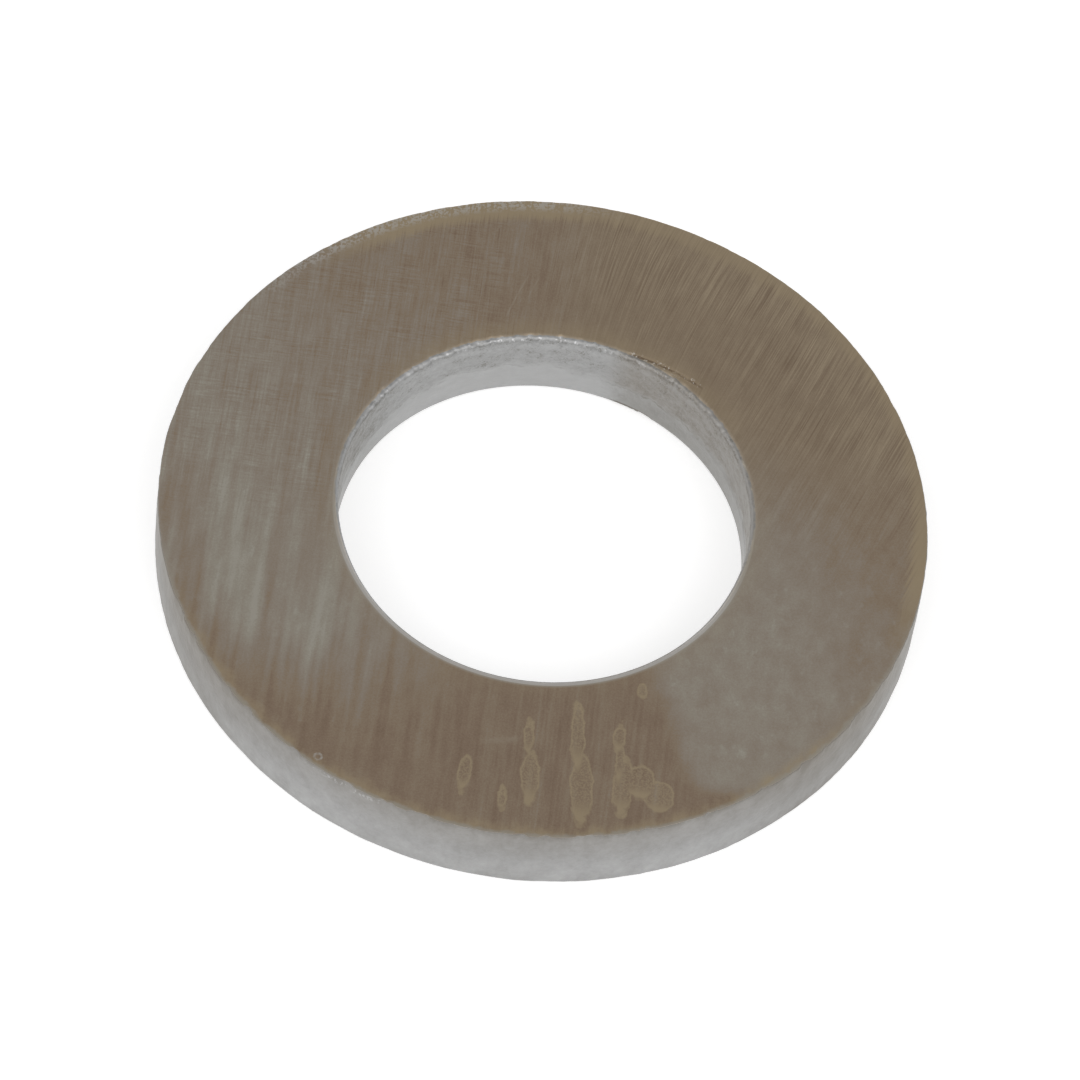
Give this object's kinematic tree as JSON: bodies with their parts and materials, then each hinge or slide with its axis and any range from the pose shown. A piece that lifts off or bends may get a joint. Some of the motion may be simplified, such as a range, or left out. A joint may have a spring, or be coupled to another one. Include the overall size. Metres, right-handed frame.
{
  "type": "flat washer",
  "caption": "Plain round flat washer: a stamped steel ring with a clearance bore, one face ground flat and lightly rounded edges.",
  "frame": {"origin": "centre of the washer's underside, on the axis of the bore", "axes": "+Z along the bore axis, out of the ground upper face; the washer is round, so X and Y are free"},
  "size_m": [0.0198, 0.0198, 0.0021],
  "materials": {
    "washer_steel": "bare steel, upper face ground by hand, cut walls and underside as stamped"
  },
  "bodies": {
    "root": {"washer_ring": "washer_steel"}
  },
  "joints": []
}
